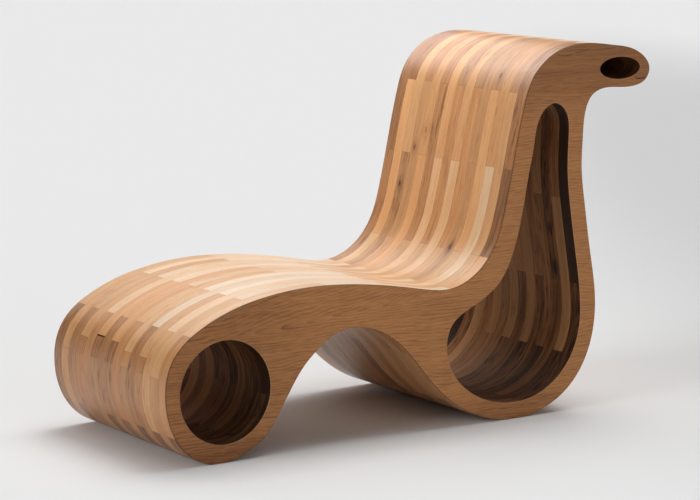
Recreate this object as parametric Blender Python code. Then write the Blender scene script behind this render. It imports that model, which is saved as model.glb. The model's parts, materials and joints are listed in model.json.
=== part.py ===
"""Sculptural oak lounge chair, stack-laminated from sawn ribs.

Fifteen ribs stand side by side across the chair. Each rib is three boards butted end to end: a foot
board round the front bore, a seat board round the lower half of the rear hollow, and a back board
with the head. The butt joints step from rib to rib like brickwork. Six dowels pin the boards across
the stack, and a thin sawn facing covers each side.

Runs by itself: blender --background --python part.py, or from Blender's text editor.
Metres, +Z up. The foot end is at -X, the head at +X, and the sitter's left side at -Y.
The origin is on the floor, under the middle of the chair.
"""

import math

import bpy
import numpy as np

# Overall sizes of the profile
LENGTH = 1.574
HEIGHT = 1.029
SEAT_HEIGHT = 0.432
SEAT_DIP = 0.0475
ARCH_HEIGHT = 0.309
HEAD_DEPTH = 0.1275
REST_FLAT_DEPTH = 0.0012

# Front bore and the roll of wood round it
BORE_RADIUS = 0.135
ROLL_WALL = 0.045

# Walls round the rear hollow
SEAT_WALL = 0.104
BACK_WALL = 0.061
REAR_WALL = 0.0525
FLOOR_WALL = 0.048
LEG_WALL = 0.062
HEAD_WALL = 0.161

# Slot through the head
SLOT_LENGTH = 0.144
SLOT_HEIGHT = 0.061
SLOT_TIP_WALL = 0.036
SLOT_FLOOR_WALL = 0.0235

# Stack across the chair
LAMINATION_COUNT = 15
LAMINATION_THICKNESS = 0.0393
GLUE_GAP = 0.0003
FACING_THICKNESS = 0.003
FACING_EASE = 0.0008

# Dowels, and the wood between the last of them and the slot
DOWEL_RADIUS = 0.010
DOWEL_CLEARANCE = 0.0003
SLOT_DOWEL_WALL = 0.031
DOWEL_SIDES = 8
DOWEL_SHADE_DEGREES = 50

# Facets: how far a chord may leave its curve, and the sides of the bore and the slot
FACET_SAG = 0.001
SPAN_STEPS = 24
BORE_SIDES = 32
SLOT_SIDES = 24

# Knots round the front roll, clockwise: degrees about the bore, and the wall there against ROLL_WALL
ROLL_SHARES = [
    (-7, 1.33), (-24.5, 0.97), (-48.5, 0.93), (-71, 0.93), (-96, 1.13), (-112.5, 1.18),
    (-134, 1.10), (-156, 0.97), (-181, 0.93), (-203.5, 1.04), (-224, 1.08), (-247, 1.12),
]
# Seat nose: along the body, and up from the top of the roll to the seat height
NOSE_SHARES = [(-0.145, 0.37), (-0.055, 0.79), (0.060, 1.0)]
# Seat: along the body, and down by the dip
SEAT_SHARES = [(0.183, 0.125), (0.311, 0.59), (0.3805, 0.915), (0.4325, 1.0)]
# Front of the back: along the body, and up from the dip to the top
BACK_SHARES = [
    (0.483, 0.027), (0.5325, 0.098), (0.564, 0.192), (0.5825, 0.303), (0.599, 0.44),
    (0.617, 0.607), (0.6325, 0.7315), (0.658, 0.861), (0.687, 0.923),
]
# Head: along the body, and down by the head's depth
HEAD_SHARES = [
    (0.7485, 0.075), (0.8185, 0.0), (0.898, 0.075), (0.964, 0.227), (1.0, 0.635),
    (0.9885, 0.863), (0.967, 0.965), (0.9145, 1.0), (0.861, 1.008), (0.831, 1.137),
]
# Rear upright and the round of the rear loop: along the body, and up to the underside of the head
REAR_SHARES = [
    (0.810, 0.923), (0.8055, 0.857), (0.8035, 0.768), (0.8145, 0.648), (0.834, 0.494), (0.8505, 0.361),
    (0.848, 0.256), (0.8225, 0.153), (0.7665, 0.064), (0.6925, 0.015), (0.619, 0.0),
]
# Arch between the two feet: along the body, and up to the top of the arch
ARCH_SHARES = [
    (0.545, 0.041), (0.4625, 0.184), (0.3805, 0.458), (0.3105, 0.768), (0.249, 0.936),
    (0.190, 1.0), (0.134, 0.981), (0.087, 0.868), (0.048, 0.726),
]

# Rear hollow: wall at each knot of the outline that it follows, as a share of the named wall, and the
# place of its top between the walls there
BACK_WALL_SHARES = [1.21, 1.255, 1.09, 1.03, 0.98, 0.98, 1.07]
HOLLOW_TOP_SHARE = 0.566
REAR_WALL_SHARES = [1.36, 0.98, 0.97, 1.0, 1.0, 1.05, 1.015, 1.01, 0.995]
FLOOR_WALL_SHARES = [1.0, 1.0, 1.0]
LEG_WALL_SHARES = [0.84, 1.32]

# Butt joints of the even and the odd ribs: along the body, up from the dip to the top, and up to the
# underside of the head
SEAT_JOINT_SHARES = {"even": 0.273, "odd": 0.1045}
BACK_JOINT_SHARES = {"even": 0.114, "odd": 0.479}
REAR_JOINT_SHARES = {"even": 0.6655, "odd": 0.395}

# Dowels round the bore: degrees, and walls out from the bore
ROLL_DOWEL_SHARES = {"dowel_foot_front": (200, 0.5), "dowel_foot_rear": (44, 1.7)}
# Dowels under the outline: a group of its knots, the way along the group, and the depth in its wall
DEEP_DOWEL_SHARES = {
    "dowel_seat_front": ("seat", 0.67, 0.95),
    "dowel_seat_rear": ("rear", 0.8, 0.5),
    "dowel_back_front": ("back", 1, 0.45),
}

# Colours of the oak, linear, and the tones of the boards from the sitter's right to left
OAK_TONES = {
    "cream": (0.66, 0.47, 0.28),
    "light": (0.53, 0.34, 0.18),
    "mid": (0.38, 0.21, 0.095),
    "brown": (0.27, 0.135, 0.06),
    "dark": (0.15, 0.07, 0.032),
}
FOOT_TONES = "mid mid light mid cream mid light mid light light cream brown cream mid light"
SEAT_TONES = "light light light light mid light brown light brown light light cream cream light light"
BACK_TONES = "dark mid mid mid mid brown light brown light brown mid light cream light dark"
FACING_COLOUR = (0.25, 0.12, 0.05)
DOWEL_COLOUR = (0.55, 0.38, 0.2)
OAK_ROUGHNESS = 0.42


def polar(centre, radius, degrees):
    """A point at a distance and direction from a centre."""
    angle = math.radians(degrees)
    return np.array([centre[0] + radius * math.cos(angle), centre[1] + radius * math.sin(angle)])


def ring(centre, half_length, half_height, sides):
    """An ellipse as a closed loop of points."""
    turns = 2 * math.pi * np.arange(sides) / sides
    return np.array([(centre[0] + half_length * math.cos(turn), centre[1] + half_height * math.sin(turn))
                     for turn in turns])


def chord_sag(points):
    """Greatest distance of points from the chord between the first and the last."""
    chord = points[-1] - points[0]
    across = np.array([chord[1], -chord[0]]) / np.linalg.norm(chord)
    return np.abs((points - points[0]) @ across).max()


def thinned(points):
    """A closed loop with only the points that keep its chords within the facet sag of the curve."""
    closed = np.vstack([points, points[:1]])
    last = len(points)
    kept = [0]
    while kept[-1] < last:
        start = kept[-1]
        end = start + 1
        while end < last and chord_sag(closed[start:end + 2]) < FACET_SAG:
            end += 1
        kept.append(end)
    return closed[kept[:-1]]


def cut_at_floor(loop):
    """A closed loop with what lies below the floor cut off flat."""
    kept = []
    for here, ahead in zip(loop, np.roll(loop, -1, axis=0)):
        if here[1] > 0:
            kept.append(here)
        if (here[1] > 0) != (ahead[1] > 0):
            share = here[1] / (here[1] - ahead[1])
            kept.append(np.array([here[0] + share * (ahead[0] - here[0]), 0]))
    return np.array(kept)


def offset(loop, distance):
    """A closed loop moved sideways, to the right of its direction."""
    ahead = np.roll(loop, -1, axis=0) - loop
    ahead /= np.linalg.norm(ahead, axis=1)[:, None]
    right = np.column_stack([ahead[:, 1], -ahead[:, 0]])
    before = np.roll(right, 1, axis=0)
    spread = 1 + (right * before).sum(axis=1)
    return loop + distance * (right + before) / spread[:, None]


def hits(loop, origin, direction):
    """Where a straight line meets a closed loop: distance along the line, place on the loop, point."""
    found = []
    for index, (here, ahead) in enumerate(zip(loop, np.roll(loop, -1, axis=0))):
        edge = ahead - here
        cross = edge[0] * direction[1] - edge[1] * direction[0]
        if cross == 0:
            continue
        share = ((origin[0] - here[0]) * direction[1] - (origin[1] - here[1]) * direction[0]) / cross
        if 0 <= share < 1:
            point = here + share * edge
            found.append(((point - origin) @ direction, index + share, point))
    return found


def first_hit(loop, origin, direction):
    """The first place past the facet sag where a line from a point meets a closed loop."""
    ahead = [hit for hit in hits(loop, origin, direction) if hit[0] > FACET_SAG]
    return min(ahead, key=lambda hit: hit[0])


def nearest_place(loop, origin, direction, near):
    """The place on a closed loop where a line meets it nearest to a point."""
    return min(hits(loop, origin, direction), key=lambda hit: np.linalg.norm(hit[2] - near))[1]


def place_point(loop, place):
    """The point at a place on a closed loop, counted in its points."""
    index = math.floor(place)
    share = place - index
    return (1 - share) * loop[index % len(loop)] + share * loop[(index + 1) % len(loop)]


def stretch(loop, start, end):
    """Points of a closed loop from one place to another, clockwise, without slivers at the ends."""
    if end < start:
        end += len(loop)
    first = place_point(loop, start)
    last = place_point(loop, end)
    between = [loop[index % len(loop)] for index in range(math.floor(start) + 1, math.ceil(end))]
    clear = [point for point in between
             if min(np.linalg.norm(point - first), np.linalg.norm(point - last)) > FACET_SAG]
    return [first] + clear + [last]


class SmoothLoop:
    """A closed cubic curve through knots, run clockwise, with the wood on its right."""

    def __init__(self, knots):
        self.knots = np.array(knots)
        steps = np.roll(self.knots, -1, axis=0) - self.knots
        self.spans = np.linalg.norm(steps, axis=1)
        slopes = steps / self.spans[:, None]
        self.bends = np.linalg.solve(self.span_matrix(), 6 * (slopes - np.roll(slopes, 1, axis=0)))

    def span_matrix(self):
        """How the curve's second derivatives at the knots add up to its changes of slope."""
        count = len(self.knots)
        matrix = np.zeros((count, count))
        for knot, after in enumerate(self.spans):
            before = self.spans[knot - 1]
            matrix[knot, knot - 1] = before
            matrix[knot, knot] = 2 * (before + after)
            matrix[knot, (knot + 1) % count] = after
        return matrix

    def point(self, knot, share):
        """The curve at a share of the way from a knot to the next."""
        after = (knot + 1) % len(self.knots)
        left = 1 - share
        straight = left * self.knots[knot] + share * self.knots[after]
        bend = (left ** 3 - left) * self.bends[knot] + (share ** 3 - share) * self.bends[after]
        return straight + bend * self.spans[knot] ** 2 / 6

    def points(self):
        """Closely spaced points round the whole curve."""
        shares = np.arange(SPAN_STEPS) / SPAN_STEPS
        return np.array([self.point(knot, share) for knot in range(len(self.knots)) for share in shares])

    def inset(self, knot, depth):
        """The point at a depth in the wood, square to the curve at a knot."""
        after = (knot + 1) % len(self.knots)
        span = self.spans[knot]
        along = (self.knots[after] - self.knots[knot]) / span
        along = along - (2 * self.bends[knot] + self.bends[after]) * span / 6
        along = along / np.linalg.norm(along)
        return self.knots[knot] + depth * np.array([along[1], -along[0]])


class Profile:
    """The closed loops that every rib is sawn to, with X from the foot end and Z from the floor."""

    def __init__(self):
        rim = np.array(self.roll_ring(np.zeros(2)))
        self.bore_at = np.array([-rim[:, 0].min(), -rim[:, 1].min() - REST_FLAT_DEPTH])
        self.roll_right = self.bore_at[0] + BORE_RADIUS + ROLL_WALL
        self.dip = SEAT_HEIGHT - SEAT_DIP
        self.underside = HEIGHT - HEAD_DEPTH
        self.groups = self.outline_groups()
        self.edge = SmoothLoop([knot for group in self.groups.values() for knot in group])
        self.outline = cut_at_floor(thinned(self.edge.points()))
        self.hollow = thinned(SmoothLoop(self.hollow_knots()).points())
        self.slot_at = np.array([
            LENGTH - SLOT_TIP_WALL - SLOT_LENGTH / 2,
            self.underside + SLOT_FLOOR_WALL + SLOT_HEIGHT / 2,
        ])
        self.middle = (self.outline[:, 0].min() + self.outline[:, 0].max()) / 2

    def roll_ring(self, centre):
        """Knots of the outline round the front roll."""
        return [polar(centre, BORE_RADIUS + ROLL_WALL * share, degrees) for degrees, share in ROLL_SHARES]

    def along_body(self, share):
        """The distance from the foot end at a share of the body, which runs from the roll to the head."""
        return self.roll_right + share * (LENGTH - self.roll_right)

    def outline_groups(self):
        """Knots of the outline in named groups, clockwise as seen from the sitter's left."""
        roll_top = self.bore_at[1] + BORE_RADIUS + ROLL_WALL
        rises = {
            "nose": (NOSE_SHARES, roll_top, SEAT_HEIGHT),
            "seat": (SEAT_SHARES, SEAT_HEIGHT, self.dip),
            "back": (BACK_SHARES, self.dip, HEIGHT),
            "head": (HEAD_SHARES, HEIGHT, self.underside),
            "rear": (REAR_SHARES, -REST_FLAT_DEPTH, self.underside),
            "arch": (ARCH_SHARES, -REST_FLAT_DEPTH, ARCH_HEIGHT),
        }
        groups = {"roll": self.roll_ring(self.bore_at)}
        for name, (shares, start, end) in rises.items():
            groups[name] = [(self.along_body(along), start + up * (end - start)) for along, up in shares]
        return groups

    def under(self, group, number, depth):
        """The point at a depth under a knot of the outline."""
        names = list(self.groups)
        before = sum(len(self.groups[name]) for name in names[:names.index(group)])
        return self.edge.inset(before + number, depth)

    def hollow_knots(self):
        """Knots of the rear hollow, most of them a wall's thickness under a knot of the outline."""
        dip_knot = len(SEAT_SHARES) - 1
        floor_knot = len(REAR_WALL_SHARES)
        floor_shares = list(enumerate(FLOOR_WALL_SHARES, floor_knot))
        front = [self.under("back", i, BACK_WALL * share) for i, share in enumerate(BACK_WALL_SHARES)]
        rear = [self.under("rear", i, REAR_WALL * share) for i, share in enumerate(REAR_WALL_SHARES)]
        top = front[-1][0] + HOLLOW_TOP_SHARE * (rear[0][0] - front[-1][0])
        knots = [self.under("seat", dip_knot, SEAT_WALL), *front, (top, HEIGHT - HEAD_WALL), *rear]
        knots += [self.under("rear", i, FLOOR_WALL * share) for i, share in floor_shares[:-1]]
        knots += [self.under("arch", 0, FLOOR_WALL * floor_shares[-1][1])]
        knots += [self.under("arch", i, LEG_WALL * share) for i, share in enumerate(LEG_WALL_SHARES, 1)]
        return knots

    def bore(self, ease=0):
        """The bore through the front roll, opened by an ease."""
        return ring(self.bore_at, BORE_RADIUS + ease, BORE_RADIUS + ease, BORE_SIDES)

    def slot(self, ease=0):
        """The slot through the head, opened by an ease."""
        return ring(self.slot_at, SLOT_LENGTH / 2 + ease, SLOT_HEIGHT / 2 + ease, SLOT_SIDES)

    def dowels(self):
        """The centre of each dowel."""
        walls = {"seat": SEAT_WALL, "rear": REAR_WALL, "back": HEAD_DEPTH}
        centres = {name: polar(self.bore_at, BORE_RADIUS + ROLL_WALL * share, degrees)
                   for name, (degrees, share) in ROLL_DOWEL_SHARES.items()}
        for name, (group, along, depth) in DEEP_DOWEL_SHARES.items():
            number = round(along * (len(self.groups[group]) - 1))
            centres[name] = self.under(group, number, walls[group] * depth)
        slot_reach = SLOT_LENGTH / 2 + SLOT_DOWEL_WALL + DOWEL_RADIUS
        centres["dowel_back_rear"] = self.slot_at - np.array([slot_reach, 0])
        return centres


def butt_joint(outline, inner, start, direction):
    """The two faces of a glued joint, square to the outline where a line from outside first meets it.

    Each face is its place on the outline and its place on the inner loop. The face that comes first on
    the outline is given first.
    """
    _, place, face = first_hit(outline, np.array(start), np.array(direction))
    index = math.floor(place)
    along = outline[(index + 1) % len(outline)] - outline[index]
    along = along / np.linalg.norm(along)
    inward = np.array([along[1], -along[0]])
    far = first_hit(inner, face, inward)[2]
    origins = [face + side * GLUE_GAP / 2 * along for side in (-1, 1)]
    return [(nearest_place(outline, origin, inward, face), nearest_place(inner, origin, inward, far))
            for origin in origins]


def rib_boards(profile, row):
    """The edges of a rib's three boards, for the even or the odd row of joints."""
    outline = profile.outline
    hollow = profile.hollow
    over_dip = profile.along_body(SEAT_SHARES[-1][0])
    back_height = profile.dip + BACK_JOINT_SHARES[row] * (HEIGHT - profile.dip)
    rear_height = REAR_JOINT_SHARES[row] * profile.underside
    seat_start = (profile.along_body(SEAT_JOINT_SHARES[row]), HEIGHT)
    seat_first, seat_second = butt_joint(outline, outline, seat_start, (0, -1))
    back_first, back_second = butt_joint(outline, hollow, (over_dip, back_height), (1, 0))
    rear_first, rear_second = butt_joint(outline, hollow, (2 * LENGTH, rear_height), (-1, 0))
    return {
        "foot": stretch(outline, seat_first[1], seat_first[0]),
        "seat": stretch(outline, seat_second[0], back_first[0])
        + stretch(hollow, rear_second[1], back_first[1])[::-1]
        + stretch(outline, rear_second[0], seat_second[1]),
        "back": stretch(outline, back_second[0], rear_first[0])
        + stretch(hollow, back_second[1], rear_first[1])[::-1],
    }


def finish(name, colour):
    """Oiled wood in one colour."""
    material = bpy.data.materials.new(name)
    material.use_nodes = True
    shader = material.node_tree.nodes["Principled BSDF"]
    shader.inputs["Base Color"].default_value = (*colour, 1)
    shader.inputs["Roughness"].default_value = OAK_ROUGHNESS
    shader.inputs["Metallic"].default_value = 0
    return material


def sawn_board(name, loops, thickness, y, colour, chair):
    """A flat board across the chair: its first loop is its edge, and the others are holes through it."""
    curve = bpy.data.curves.new(name, "CURVE")
    curve.dimensions = "2D"
    curve.fill_mode = "BOTH"
    curve.extrude = thickness / 2
    for loop in loops:
        spline = curve.splines.new("POLY")
        spline.points.add(len(loop) - 1)
        for point, (x, z) in zip(spline.points, loop):
            point.co = (x, z, 0, 1)
        spline.use_cyclic_u = True
    curve.materials.append(finish(name, colour))
    board = bpy.data.objects.new(name, curve)
    board.rotation_euler = (math.pi / 2, 0, 0)
    board.location = (0, y, 0)
    board.parent = chair
    chair.users_collection[0].objects.link(board)


def add_ribs(profile, chair):
    """The ribs from the sitter's right to left, each of three boards with their dowel holes."""
    tones = {"foot": FOOT_TONES.split(), "seat": SEAT_TONES.split(), "back": BACK_TONES.split()}
    openings = {"foot": [profile.bore()], "seat": [], "back": [profile.slot()]}
    hole = DOWEL_RADIUS + DOWEL_CLEARANCE
    for name, centre in profile.dowels().items():
        board = name.split("_")[1]
        openings[board].append(ring(centre, hole, hole, DOWEL_SIDES))
    rows = {row: rib_boards(profile, row) for row in ("odd", "even")}
    for index in range(LAMINATION_COUNT):
        number = index + 1
        y = ((LAMINATION_COUNT - 1) / 2 - index) * (LAMINATION_THICKNESS + GLUE_GAP)
        for board, edge in rows["odd" if number % 2 else "even"].items():
            colour = OAK_TONES[tones[board][index % len(tones[board])]]
            name = f"lamination_{number:02d}_{board}"
            sawn_board(name, [edge, *openings[board]], LAMINATION_THICKNESS, y, colour, chair)


def stack_width():
    """Width of the glued ribs without their facings."""
    return LAMINATION_COUNT * LAMINATION_THICKNESS + (LAMINATION_COUNT - 1) * GLUE_GAP


def add_facings(profile, chair):
    """The thin sawn face of each side, its edges eased back from the ribs."""
    loops = [
        offset(profile.outline, FACING_EASE),
        offset(profile.hollow, -FACING_EASE),
        profile.bore(FACING_EASE),
        profile.slot(FACING_EASE),
    ]
    y = stack_width() / 2 + GLUE_GAP + FACING_THICKNESS / 2
    sawn_board("facing_left", loops, FACING_THICKNESS, -y, FACING_COLOUR, chair)
    sawn_board("facing_right", loops, FACING_THICKNESS, y, FACING_COLOUR, chair)


def add_dowels(profile, chair):
    """The dowels through the whole stack of ribs."""
    collection = chair.users_collection[0]
    for name, (x, z) in profile.dowels().items():
        bpy.ops.mesh.primitive_cylinder_add(vertices=DOWEL_SIDES, radius=DOWEL_RADIUS, depth=stack_width())
        dowel = bpy.context.active_object
        dowel.name = name
        dowel.rotation_euler = (math.pi / 2, 0, 0)
        dowel.location = (x, 0, z)
        dowel.parent = chair
        dowel.data.materials.append(finish(name, DOWEL_COLOUR))
        dowel.data.shade_smooth()
        dowel.data.set_sharp_from_angle(angle=math.radians(DOWEL_SHADE_DEGREES))
        for holder in dowel.users_collection:
            holder.objects.unlink(dowel)
        collection.objects.link(dowel)


def main():
    """Clears the scene and builds the chair under one empty at its foot end."""
    for item in list(bpy.data.objects):
        bpy.data.objects.remove(item, do_unlink=True)
    collection = bpy.data.collections.new("Lounge chair")
    bpy.context.scene.collection.children.link(collection)
    profile = Profile()
    chair = bpy.data.objects.new("chair", None)
    chair.location = (-profile.middle, 0, 0)
    collection.objects.link(chair)
    add_ribs(profile, chair)
    add_facings(profile, chair)
    add_dowels(profile, chair)


main()
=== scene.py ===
"""Dresses the stack-laminated oak lounge chair: its ribs, side facings and dowels, and the studio.

The ribs and facings are sawn from the same profile as the solids, with finer curves, eased arrises
and staves of mixed oak butted end to end.
"""

import json
import math
import random
from functools import partial

import bmesh
import bpy
import numpy as np
from bpy.props import FloatProperty, FloatVectorProperty, IntProperty, PointerProperty
from mathutils import Matrix

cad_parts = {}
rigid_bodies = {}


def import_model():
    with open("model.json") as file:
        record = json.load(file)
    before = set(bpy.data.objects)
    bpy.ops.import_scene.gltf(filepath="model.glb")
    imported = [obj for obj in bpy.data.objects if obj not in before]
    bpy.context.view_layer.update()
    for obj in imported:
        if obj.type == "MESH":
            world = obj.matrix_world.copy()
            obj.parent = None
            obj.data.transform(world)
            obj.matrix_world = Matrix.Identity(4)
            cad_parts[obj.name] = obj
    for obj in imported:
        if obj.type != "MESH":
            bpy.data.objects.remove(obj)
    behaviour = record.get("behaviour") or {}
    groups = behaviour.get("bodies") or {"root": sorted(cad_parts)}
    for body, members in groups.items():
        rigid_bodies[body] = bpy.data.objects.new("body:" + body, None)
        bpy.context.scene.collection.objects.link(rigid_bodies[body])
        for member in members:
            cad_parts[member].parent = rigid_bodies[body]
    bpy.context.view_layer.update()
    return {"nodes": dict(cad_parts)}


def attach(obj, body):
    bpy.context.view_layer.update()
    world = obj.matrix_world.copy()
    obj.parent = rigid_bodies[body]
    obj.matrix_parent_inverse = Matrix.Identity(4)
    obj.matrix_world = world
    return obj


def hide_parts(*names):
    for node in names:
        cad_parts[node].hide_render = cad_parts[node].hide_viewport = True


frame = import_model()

bl_info = {
    "name": "Laminated oak lounge chair",
    "version": (1, 0, 0),
    "blender": (4, 5, 0),
    "location": "View3D > Sidebar > Lounge chair",
    "description": "Dresses a stack-laminated oak lounge chair and lights it in a plain studio",
    "category": "Object",
}

# Knots round the front roll, clockwise: degrees about the bore, and the wall there against the roll wall
ROLL_SHARES = [
    (-7, 1.33), (-24.5, 0.97), (-48.5, 0.93), (-71, 0.93), (-96, 1.13), (-112.5, 1.18),
    (-134, 1.10), (-156, 0.97), (-181, 0.93), (-203.5, 1.04), (-224, 1.08), (-247, 1.12),
]
# The other knots of the outline: along the body, and up or down between the two heights of their group
NOSE_SHARES = [(-0.145, 0.37), (-0.055, 0.79), (0.060, 1.0)]
SEAT_SHARES = [(0.183, 0.125), (0.311, 0.59), (0.3805, 0.915), (0.4325, 1.0)]
BACK_SHARES = [
    (0.483, 0.027), (0.5325, 0.098), (0.564, 0.192), (0.5825, 0.303), (0.599, 0.44),
    (0.617, 0.607), (0.6325, 0.7315), (0.658, 0.861), (0.687, 0.923),
]
HEAD_SHARES = [
    (0.7485, 0.075), (0.8185, 0.0), (0.898, 0.075), (0.964, 0.227), (1.0, 0.635),
    (0.9885, 0.863), (0.967, 0.965), (0.9145, 1.0), (0.861, 1.008), (0.831, 1.137),
]
REAR_SHARES = [
    (0.810, 0.923), (0.8055, 0.857), (0.8035, 0.768), (0.8145, 0.648), (0.834, 0.494), (0.8505, 0.361),
    (0.848, 0.256), (0.8225, 0.153), (0.7665, 0.064), (0.6925, 0.015), (0.619, 0.0),
]
ARCH_SHARES = [
    (0.545, 0.041), (0.4625, 0.184), (0.3805, 0.458), (0.3105, 0.768), (0.249, 0.936),
    (0.190, 1.0), (0.134, 0.981), (0.087, 0.868), (0.048, 0.726),
]
# Rear hollow: wall at each knot of the outline that it follows, and the place of its top between them
BACK_WALL_SHARES = [1.21, 1.255, 1.09, 1.03, 0.98, 0.98, 1.07]
HOLLOW_TOP_SHARE = 0.566
REAR_WALL_SHARES = [1.36, 0.98, 0.97, 1.0, 1.0, 1.05, 1.015, 1.01, 0.995]
LEG_WALL_SHARES = [0.84, 1.32]

# Curves: points in each span, and the sides of the bore and the slot
SPAN_STEPS = 24
BORE_SIDES = 128
SLOT_SIDES = 80

# Butt joints of the staves, as shares of the length and the height, for even and odd ribs
JOINT_SHARES = {
    "outline": {
        "even": [
            (0.002, 0.224), (0.160, 0.397), (0.438, 0.398), (0.644, 0.445), (0.724, 0.872), (0.985, 0.945),
            (0.855, 0.583), (0.864, 0.136), (0.572, 0.068), (0.426, 0.277), (0.146, 0.016),
        ],
        "odd": [
            (0.048, 0.326), (0.308, 0.420), (0.564, 0.374), (0.693, 0.673), (0.846, 0.999), (0.865, 0.852),
            (0.881, 0.350), (0.705, 0.0), (0.477, 0.214), (0.311, 0.281), (0.229, 0.185), (0.019, 0.078),
        ],
    },
    "hollow": {
        "even": [(0.826, 0.583), (0.832, 0.155), (0.602, 0.150), (0.670, 0.440), (0.757, 0.820)],
        "odd": [(0.847, 0.346), (0.718, 0.050), (0.606, 0.290), (0.728, 0.640)],
    },
    "bore": {"even": [(0.035, 0.250), (0.140, 0.050)], "odd": [(0.198, 0.155), (0.027, 0.150)]},
    "slot": {"even": [(0.886, 0.930)], "odd": [(0.977, 0.930)]},
}
# Short pieces let in after a joint of their rib: where each ends and its tone, the longest first
SHORT_STAVES = {
    ("outline", 4): [((0.014, 0.262), "russet")],
    ("outline", 6): [((0.0204, 0.2748), "black"), ((0.019, 0.272), "brown")],
    ("outline", 8): [((0.019, 0.272), "brown")],
    ("outline", 10): [((0.013, 0.260), "mid")],
    ("outline", 12): [((0.013, 0.260), "russet")],
    ("outline", 15): [((0.644, 0.445), "tan")],
}
# Knots, as shares of the length and the height
KNOT_SHARES = {
    ("outline", 3): (0.675, 0.588),
    ("outline", 4): (0.697, 0.690),
    ("outline", 5): (0.703, 0.741),
    ("outline", 11): (0.644, 0.452),
    ("outline", 12): (0.734, 0.912),
    ("hollow", 4): (0.640, 0.095),
    ("hollow", 13): (0.845, 0.379),
}

# Tones of the staves after each joint, from the sitter's right to left; the others are drawn at random
TONES = {
    "black": -0.05, "dark": 0.12, "umber": 0.19, "brown": 0.27, "russet": 0.35, "mid": 0.42, "tan": 0.55,
    "honey": 0.66, "light": 0.78, "cream": 0.90,
}
STAVE_TONES = {
    "outline": {
        0: "tan tan tan tan light tan tan tan honey honey light tan light tan honey",
        # partly painted sheen: the seat's staves are set light and cream partly for the pale sheen on it
        1: "light light cream light light cream light light light cream light cream light light cream",
        # partly painted shade: in rows 2, 3 and -1 the first and last ribs are darker for the shade along
        # the chair's sides
        2: "russet honey mid tan tan tan honey tan honey tan mid tan light tan umber",
        3: "brown tan tan mid tan mid tan mid tan mid mid tan mid tan brown",
        4: "tan brown light russet light russet light mid cream mid light russet light russet light",
        7: "mid mid brown mid mid tan mid mid brown mid mid brown mid brown mid",
        8: "tan mid tan mid tan mid tan mid mid tan mid tan mid tan mid",
        9: "tan tan mid tan mid tan mid tan mid tan mid mid tan mid tan",
        # painted shade: the staves under the arch are partly darkened for the shade beneath it
        -2: "brown brown brown umber brown brown umber brown umber brown umber brown umber brown brown",
        -1: "brown mid russet russet mid russet russet russet mid russet russet russet tan mid mid",
    },
    # painted shade: the staves of the hollow, the bore and the slot are darkened for the shade in these
    # recesses, to near black at some ends
    "hollow": {
        0: "black black brown mid brown mid brown mid umber mid umber brown umber mid dark",
        1: "black black mid mid mid brown brown umber umber umber umber dark umber dark umber",
        2: "black umber brown umber brown brown umber brown umber brown umber brown umber brown black",
        3: "black brown mid brown brown brown mid brown brown mid brown umber brown umber black",
        -1: "black umber mid brown mid umber mid brown mid mid brown mid umber brown black",
    },
    "bore": {
        0: "tan tan umber tan brown tan brown mid brown brown umber umber umber dark dark",
        1: "mid brown mid brown mid brown brown umber umber umber dark umber dark dark black",
    },
    "slot": {0: "dark", -1: "dark"},
}
DRAWN_TONES = ("brown", "mid", "mid", "tan", "tan", "light")
TONE_DRIFT = 0.04
SEED = 7
# A short piece's seed against its stave's, and where a loop without a knot puts it, out of reach
SHORT_SEED_STEP = 0.37
FAR_OFF = -9.0

# Grain layers: how far each runs along the wood, how wide it is, and its detail
GRAINS = {
    "slow": (0.30, 0.016, 3), "narrow": (0.14, 0.0045, 2), "fibre": (0.05, 0.0011, 2),
    "pore": (0.006, 0.0004, 0), "patch": (0.055, 0.009, 3),
}
# Figure: how much of a streak is slow, the noise that pores and patches take up, and the late wood
SLOW_SHARE = 0.62
PORE_RANGE = (0.60, 0.72)
PATCH_RANGE = (0.52, 0.70)
LATE_WOOD_POWER = 2.5
LATE_WOOD_END = 0.9
# Surface: how deep the grain and its pores are cut, and how much rougher a streak is
BUMP_STRENGTH = 0.6
PORE_DEPTH = 1.5
STREAK_ROUGHNESS = 0.1
# How a stave's seed shifts its grain, the wave of its rings, its liveliness and its warmth
GRAIN_SHIFT, WAVE_SHIFT, LIVELY_SHIFT, WARMTH_SHIFT = 37.0, 53.0, 7.31, 3.77

# Staves: where each colour stands among the tones, and how strongly each part of the grain shows
TONE_STOPS = {
    "black": 0.0, "dark": 0.12, "brown": 0.27, "mid": 0.42, "tan": 0.60, "light": 0.78, "cream": 1.0,
}
STAVE_SHOWS = {"streak": 0.45, "fibre": 0.22, "pore": 0.10, "halo": 0.10, "core": 0.15, "joint": 0.75}
LIVELY_RANGE = (0.04, 0.15)
WARM_TINT = (1.06, 0.98, 0.90, 1)
COOL_TINT = (0.95, 1.01, 1.06, 1)
STAVE_SMOOTHNESS = 0.04
STAVE_RING_WIDTH = 0.0062
WAVE_RUN = 0.22
WAVE_WIDTH = 0.03
WAVE_RINGS = 7.0
# Knots: half their length and width, their height on the edge, how far they pull the grain, and how far
# out, in half lengths, the pull, the halo and the core begin and are full
KNOT_HALF_LENGTH = 0.016
KNOT_HALF_WIDTH = 0.009
KNOT_HEIGHT = 0.018
KNOT_PULL = 0.006
KNOT_SWIRL, KNOT_HALO, KNOT_CORE = (2.4, 0.3), (2.4, 0.5), (0.75, 0.35)

# Dark lines in the left facing: both ends, how far the middle bows up, half its width, and how dark
FACE_LINES = [
    ((0.729, 0.9245), (0.779, 0.9255), -0.0022, 0.0030, 1.0),
    ((0.446, 1.0035), (0.513, 1.0030), -0.0055, 0.0026, 0.55),
    ((0.508, 1.0025), (0.578, 1.0135), 0.0, 0.0024, 0.5),
    ((0.570, 1.0120), (0.670, 1.0145), -0.0030, 0.0024, 0.5),
    ((0.484, 1.0090), (0.562, 1.0125), 0.0010, 0.0020, 0.35),
]
# The full middle of a line, as a share of its half width, and where it starts to fade from the middle
LINE_CORE = 0.2
LINE_FADE = 0.3
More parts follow.
